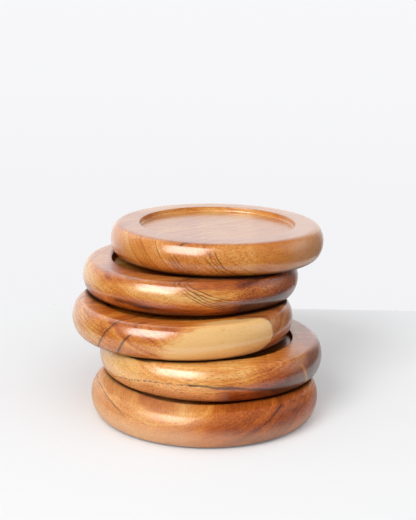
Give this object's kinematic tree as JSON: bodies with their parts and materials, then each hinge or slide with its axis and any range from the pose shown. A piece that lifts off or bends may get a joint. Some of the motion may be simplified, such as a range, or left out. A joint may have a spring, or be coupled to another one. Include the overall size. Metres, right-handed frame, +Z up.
{
  "type": "drink coaster set",
  "caption": "Stack of round turned wooden drink coasters with full crowned edges, each with a flat rim and a shallow round recess that a glass stands in, pushed a little out of line.",
  "frame": {"origin": "centre of the lowest coaster's underside, on the surface that the stack stands on", "axes": "+Z up, square to the coasters' flat faces; +Y to the back, the way the stack leans; +X to the right seen from the front"},
  "size_m": [0.1152, 0.1438, 0.075],
  "materials": {
    "bottom_wood": "satin lacquer over orange-brown wood with dark growth lines",
    "second_wood": "satin lacquer over orange-brown wood with one thin wavy dark line",
    "third_wood": "satin lacquer over olive-brown wood with a pale sapwood patch",
    "fourth_wood": "satin lacquer over red-brown wood with a dark chevron figure",
    "top_wood": "satin lacquer over golden-brown wood with slanting dark lines"
  },
  "bodies": {
    "bottom_coaster": {"bottom_coaster": "bottom_wood"},
    "second_coaster": {"second_coaster": "second_wood"},
    "third_coaster": {"third_coaster": "third_wood"},
    "fourth_coaster": {"fourth_coaster": "fourth_wood"},
    "top_coaster": {"top_coaster": "top_wood"}
  },
  "joints": [
    {"name": "lift_second", "type": "slide", "parent": "bottom_coaster", "child": "second_coaster", "axis": [0, 0, 1], "range_m": [0, 0.12]},
    {"name": "lift_third", "type": "slide", "parent": "second_coaster", "child": "third_coaster", "axis": [0, 0, 1], "range_m": [0, 0.12]},
    {"name": "lift_fourth", "type": "slide", "parent": "third_coaster", "child": "fourth_coaster", "axis": [0, 0, 1], "range_m": [0, 0.12]},
    {"name": "lift_top", "type": "slide", "parent": "fourth_coaster", "child": "top_coaster", "axis": [0, 0, 1], "range_m": [0, 0.12]}
  ]
}
